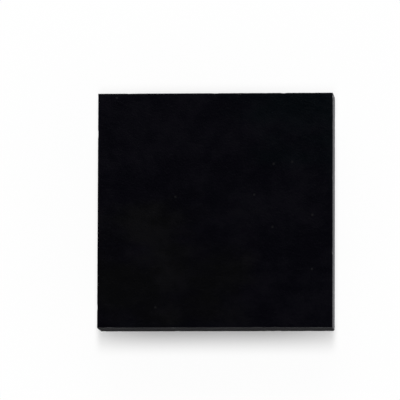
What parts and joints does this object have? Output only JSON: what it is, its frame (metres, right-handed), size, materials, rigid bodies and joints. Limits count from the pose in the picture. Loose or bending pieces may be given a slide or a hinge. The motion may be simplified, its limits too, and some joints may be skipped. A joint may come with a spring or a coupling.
{
  "type": "audio amplifier chip",
  "caption": "Square wafer-level amplifier chip: a sawn silicon die with a black film on its back and a grid of solder balls on its circuit side, for soldering to a board.",
  "frame": {"origin": "centre of the seating plane under the solder balls", "axes": "+Z out of the black film face, +X along the ball columns 1 to 3, +Y from ball row c to row a"},
  "size_m": [0.0016, 0.0016, 0.0006],
  "materials": {
    "film": "satin black",
    "silicon": "sawn, dull lustre",
    "circuit": "glassy dark olive",
    "polymer": "glossy",
    "pad": "bright",
    "bump_metal": "satin",
    "solder": "satin, reflowed"
  },
  "bodies": {
    "root": {"backside_film": "film", "silicon_die": "silicon", "circuit_layer": "circuit", "polymer_layer": "polymer", "aluminium_pad_a1": "pad", "aluminium_pad_a2": "pad", "aluminium_pad_a3": "pad", "aluminium_pad_b1": "pad", "aluminium_pad_b2": "pad", "aluminium_pad_b3": "pad", "aluminium_pad_c1": "pad", "aluminium_pad_c2": "pad", "aluminium_pad_c3": "pad", "bump_pad_a1": "bump_metal", "bump_pad_a2": "bump_metal", "bump_pad_a3": "bump_metal", "bump_pad_b1": "bump_metal", "bump_pad_b2": "bump_metal", "bump_pad_b3": "bump_metal", "bump_pad_c1": "bump_metal", "bump_pad_c2": "bump_metal", "bump_pad_c3": "bump_metal", "solder_ball_a1": "solder", "solder_ball_a2": "solder", "solder_ball_a3": "solder", "solder_ball_b1": "solder", "solder_ball_b2": "solder", "solder_ball_b3": "solder", "solder_ball_c1": "solder", "solder_ball_c2": "solder", "solder_ball_c3": "solder"}
  },
  "joints": []
}
